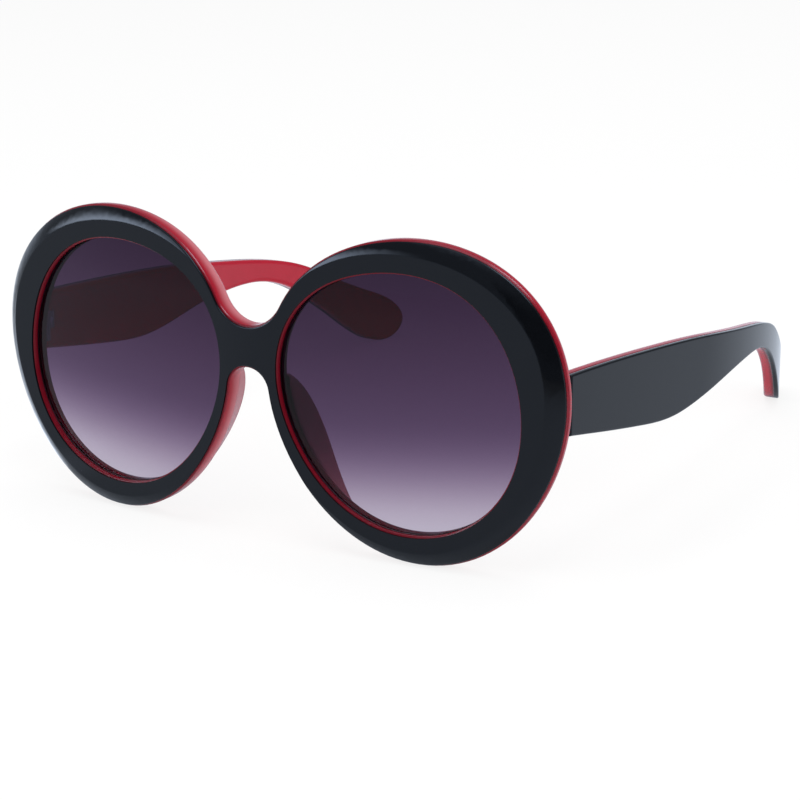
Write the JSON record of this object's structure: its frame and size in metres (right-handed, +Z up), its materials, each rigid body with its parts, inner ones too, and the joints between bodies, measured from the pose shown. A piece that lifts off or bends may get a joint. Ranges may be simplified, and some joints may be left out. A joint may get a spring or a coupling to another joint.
{
  "type": "sunglasses",
  "caption": "Oversized round sunglasses: a black face over a red back layer, gradient smoke lenses, red nose pads and folding arms that end in wide paddles.",
  "frame": {"origin": "on the table, below the middle of the box round the open sunglasses", "axes": "+X to the wearer's left, +Y from the front towards the ears, +Z up"},
  "size_m": [0.1562, 0.1582, 0.0717],
  "materials": {
    "black": "polished",
    "red": "polished",
    "lens": "clear, tinted darker towards the top",
    "hinge": "satin",
    "screw": "bright",
    "core": "drawn"
  },
  "bodies": {
    "front": {"front_face": "black", "front_back": "red", "lens_left": "lens", "lens_right": "lens", "nose_pad_left": "red", "nose_pad_right": "red", "hinge_front_left": "hinge", "hinge_front_right": "hinge", "hinge_screw_left": "screw", "hinge_screw_right": "screw"},
    "temple_left": {"temple_left_outer": "black", "temple_left_inner": "red", "temple_left_core": "core", "hinge_temple_left": "hinge", "hinge_pins_left": "screw"},
    "temple_right": {"temple_right_outer": "black", "temple_right_inner": "red", "temple_right_core": "core", "hinge_temple_right": "hinge", "hinge_pins_right": "screw"}
  },
  "joints": [
    {"name": "temple_left_fold", "type": "hinge", "parent": "front", "child": "temple_left", "pos_m": [0.0686, -0.06621, 0.03843], "axis": [0, 0.048, 0.9988], "range_deg": [0, 86.5]},
    {"name": "temple_right_fold", "type": "hinge", "parent": "front", "child": "temple_right", "pos_m": [-0.0686, -0.06621, 0.03843], "axis": [0, -0.048, -0.9988], "range_deg": [0, 64]}
  ]
}
